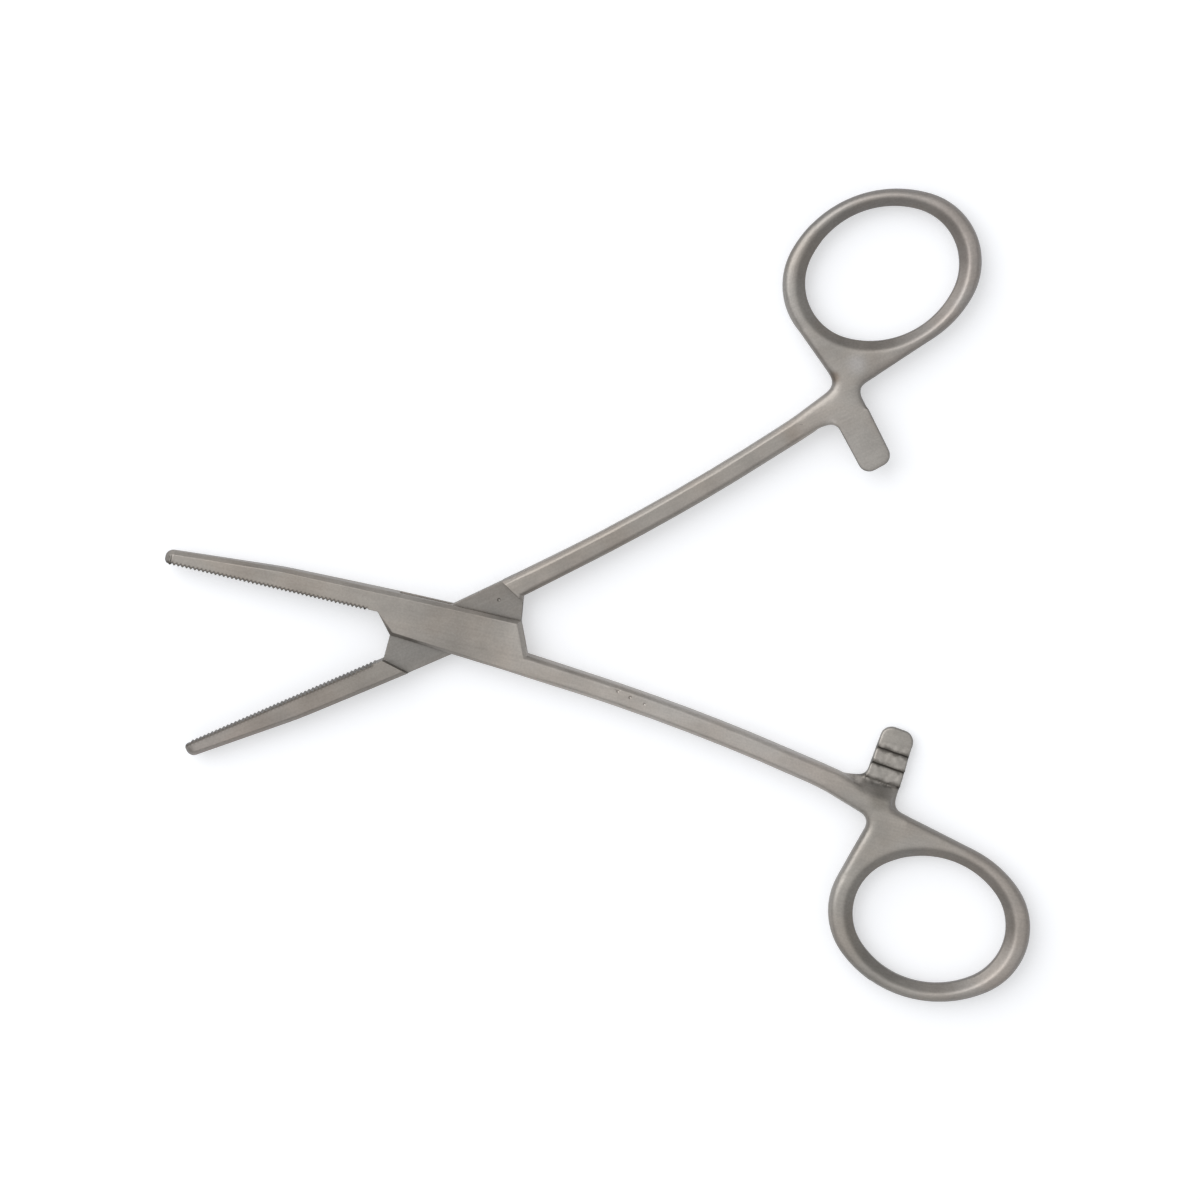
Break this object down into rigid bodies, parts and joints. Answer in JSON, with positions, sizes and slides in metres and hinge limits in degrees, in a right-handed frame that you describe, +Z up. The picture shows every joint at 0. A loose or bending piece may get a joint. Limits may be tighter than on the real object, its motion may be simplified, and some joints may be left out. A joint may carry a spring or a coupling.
{
  "type": "hemostat forceps",
  "caption": "Straight locking forceps: two steel halves cross in a box lock, with serrated jaws, bowed shanks, a ratchet catch and finger rings.",
  "frame": {"origin": "on the pin's axis, at the underside of the box", "axes": "+X runs midway between the shanks towards the finger rings, +Z up out of the box's upper face, +Y towards the tongue half's ring"},
  "size_m": [0.126, 0.1231, 0.0046],
  "materials": {
    "box_half_steel": "satin",
    "tongue_half_steel": "satin",
    "pin_steel": "satin, ground flush with the box"
  },
  "bodies": {
    "box_body": {"box_half": "box_half_steel", "pivot_pin": "pin_steel"},
    "tongue_body": {"tongue_half": "tongue_half_steel"}
  },
  "joints": [
    {"name": "pivot", "type": "hinge", "parent": "box_body", "child": "tongue_body", "pos_m": [0, 0, 0.0023], "axis": [0, 0, 1], "range_deg": [-36.3, 36]}
  ]
}
